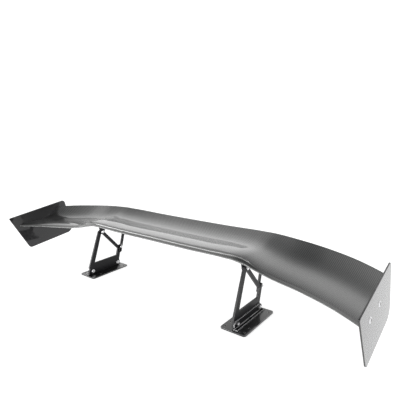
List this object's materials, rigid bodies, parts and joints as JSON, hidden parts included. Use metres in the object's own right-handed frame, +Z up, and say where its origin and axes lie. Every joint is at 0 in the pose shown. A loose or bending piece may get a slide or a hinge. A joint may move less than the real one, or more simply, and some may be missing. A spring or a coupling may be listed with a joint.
{
  "type": "racing rear wing",
  "caption": "Bowed, twisted carbon rear wing with rounded end plates, standing on two open plate pedestals with rear links that set its angle.",
  "frame": {"origin": "midspan, on the plane the base plates stand on, under the middle of the overall depth", "axes": "+X along the span, -Y towards the leading edge, +Z up"},
  "size_m": [1.7048, 0.4463, 0.294],
  "materials": {
    "carbon": "two by two twill carbon under gloss clear coat",
    "carbon_plate": "flat carbon plate, gloss clear coat",
    "carbon_inner": "bare cured carbon",
    "aluminium_block": "machined",
    "black_anodised": "black anodised, satin",
    "stainless_fasteners": "bright stainless steel",
    "black_fasteners": "black oxide steel",
    "bronze": "plain turned bush"
  },
  "bodies": {
    "mount": {"adjuster_bolts": "stainless_fasteners", "adjuster_nuts": "stainless_fasteners", "adjuster_washers": "stainless_fasteners", "angle_bolts": "stainless_fasteners", "angle_bracket_left": "black_anodised", "angle_bracket_right": "black_anodised", "angle_nuts": "stainless_fasteners", "angle_washers": "stainless_fasteners", "base_plate_left": "carbon_plate", "base_plate_right": "carbon_plate", "foot_nuts": "black_fasteners", "foot_screws": "black_fasteners", "pedestal_left": "black_anodised", "pedestal_right": "black_anodised", "pivot_bolts": "stainless_fasteners", "pivot_nuts": "stainless_fasteners", "pivot_washers": "stainless_fasteners", "slot_washers": "stainless_fasteners"},
    "wing": {"airfoil_shell": "carbon", "bracket_screws": "stainless_fasteners", "cup_washers": "stainless_fasteners", "end_plate_bolts": "black_fasteners", "end_plate_left": "carbon_plate", "end_plate_right": "carbon_plate", "end_rib_left": "aluminium_block", "end_rib_right": "aluminium_block", "foil_bracket_front_left": "black_anodised", "foil_bracket_front_right": "black_anodised", "foil_bracket_rear_left": "black_anodised", "foil_bracket_rear_right": "black_anodised", "link_pin_nuts": "stainless_fasteners", "link_pins": "stainless_fasteners", "main_spar": "carbon_inner", "mounting_block_front_left": "aluminium_block", "mounting_block_front_right": "aluminium_block", "mounting_block_rear_left": "aluminium_block", "mounting_block_rear_right": "aluminium_block", "pivot_bushes": "bronze", "rear_spar": "carbon_inner"},
    "link_left": {"rear_link_left": "black_anodised"},
    "link_right": {"rear_link_right": "black_anodised"}
  },
  "joints": [
    {"name": "wing_angle", "type": "hinge", "parent": "mount", "child": "wing", "pos_m": [0, 0.0055, 0.201], "axis": [1, 0, 0], "range_deg": [-4, 8]},
    {"name": "link_left_swing", "type": "hinge", "parent": "wing", "child": "link_left", "pos_m": [-0.40065, 0.151, 0.235], "axis": [1, 0, 0], "range_deg": [-5, 3]},
    {"name": "link_right_swing", "type": "hinge", "parent": "wing", "child": "link_right", "pos_m": [0.40065, 0.151, 0.235], "axis": [1, 0, 0], "range_deg": [-5, 3]}
  ],
  "couplings": [
    {"joint": "link_left_swing", "follows": "wing_angle", "ratio": -0.484},
    {"joint": "link_right_swing", "follows": "wing_angle", "ratio": -0.484}
  ]
}
